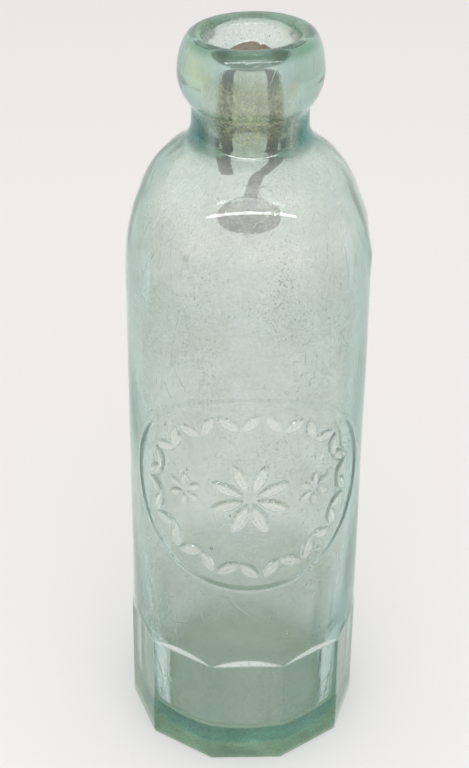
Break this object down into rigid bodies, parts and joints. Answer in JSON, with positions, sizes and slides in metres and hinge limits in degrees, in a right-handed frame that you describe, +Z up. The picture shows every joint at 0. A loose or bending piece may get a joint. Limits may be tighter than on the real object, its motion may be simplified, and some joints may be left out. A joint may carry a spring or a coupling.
{
  "type": "soda bottle with internal spring stopper",
  "caption": "Thick aqua glass soda bottle with a panelled base and blob lip, closed from inside by a wire-loop stopper that slides in its neck and presses a rubber gasket against the throat.",
  "frame": {"origin": "centre of the base, on the surface that the bottle stands on", "axes": "+Z up along the bottle's axis, -Y towards the front with the oval plate"},
  "size_m": [0.0578, 0.0573, 0.1837],
  "materials": {
    "glass": "clear aqua glass, fire-polished, with fine bubbles and wear",
    "wire": "rusted spring wire",
    "plate_metal": "dull, stained",
    "rubber": "aged, matt"
  },
  "bodies": {
    "bottle": {"bottle_glass": "glass"},
    "seal": {"upper_plate": "plate_metal", "rubber_gasket": "rubber", "lower_plate": "plate_metal"},
    "loop": {"wire_loop": "wire"}
  },
  "joints": [
    {"name": "stopper_slide", "type": "slide", "parent": "bottle", "child": "seal", "axis": [0, 0, 1], "range_m": [0, 0.0179]},
    {"name": "loop_turn", "type": "hinge", "parent": "seal", "child": "loop", "pos_m": [0, 0, 0.14], "axis": [0, 0, 1], "continuous": true}
  ]
}
